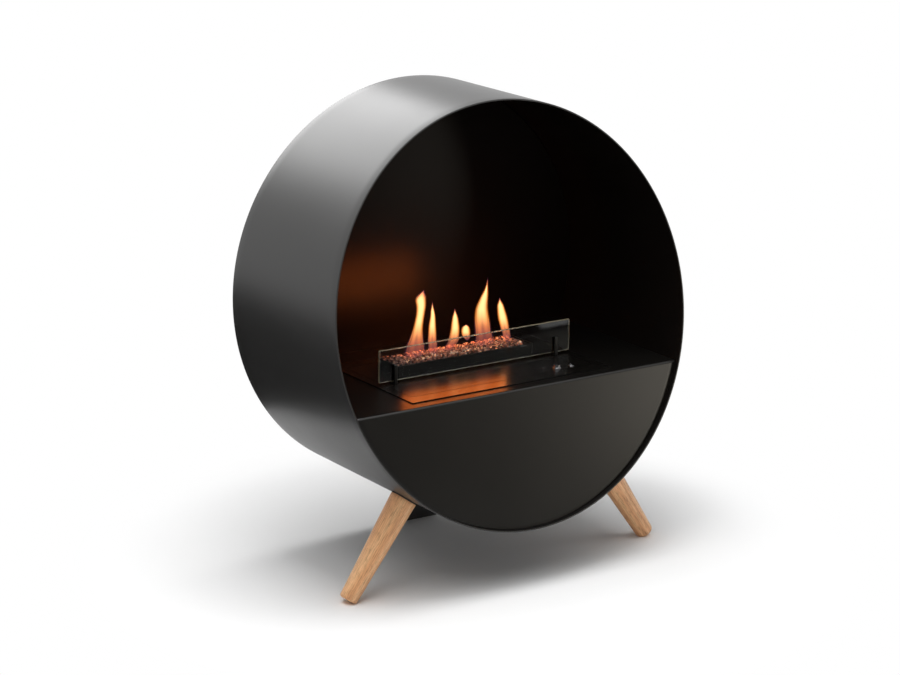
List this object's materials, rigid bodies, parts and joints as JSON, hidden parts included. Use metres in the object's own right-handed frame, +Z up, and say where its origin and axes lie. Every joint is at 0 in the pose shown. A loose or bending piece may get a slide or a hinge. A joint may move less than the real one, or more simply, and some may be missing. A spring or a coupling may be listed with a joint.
{
  "type": "bioethanol fireplace",
  "caption": "Free-standing round fireplace: a black steel drum with a slanted open front on splayed wooden legs and a rear foot, with a lift-out bioethanol burner and a glass wind guard.",
  "frame": {"origin": "on the floor, under the middle of the drum's width and depth", "axes": "+X to the right seen from the open front, +Y to the rear along the drum's axis, +Z up"},
  "size_m": [0.7, 0.4, 0.8],
  "materials": {
    "drum_black": "satin",
    "insert_black": "semi-gloss",
    "steel_brushed": "brushed",
    "post_steel": "brushed",
    "polished_steel": "polished",
    "zinc_steel": "zinc plated",
    "stone_chips": "rough",
    "wick_ceramic": "fibrous",
    "clear_glass": "polished",
    "black_rubber": "matt",
    "light_wood": "clear lacquer"
  },
  "bodies": {
    "body": {"drum_shell": "drum_black", "rear_panel": "drum_black", "front_panel": "drum_black", "panel_tabs": "drum_black", "deck_plate": "drum_black", "deck_rail_left": "drum_black", "deck_rail_right": "drum_black", "insert_frame": "insert_black", "leg_left": "light_wood", "leg_right": "light_wood", "leg_seat_left": "black_rubber", "leg_seat_right": "black_rubber", "leg_backing_left": "drum_black", "leg_backing_right": "drum_black", "leg_bolts": "zinc_steel", "rear_foot": "drum_black", "rear_foot_pad": "black_rubber"},
    "burner_unit": {"insert_plate": "insert_black", "fuel_tank": "steel_brushed", "burner_tray": "insert_black", "tray_grid": "insert_black", "ceramic_wick": "wick_ceramic", "stones": "stone_chips", "glass_post_left": "post_steel", "glass_post_right": "post_steel", "filler_collar": "polished_steel"},
    "glass": {"glass_panel": "clear_glass"},
    "filler_cap": {"filler_cap": "polished_steel"}
  },
  "joints": [
    {"name": "burner_lift", "type": "slide", "parent": "body", "child": "burner_unit", "axis": [0, 0, 1], "range_m": [0, 0.06]},
    {"name": "glass_lift", "type": "slide", "parent": "burner_unit", "child": "glass", "axis": [0, 0, 1], "range_m": [0, 0.035]},
    {"name": "cap_lift", "type": "slide", "parent": "burner_unit", "child": "filler_cap", "axis": [0, 0, 1], "range_m": [0, 0.03]}
  ]
}
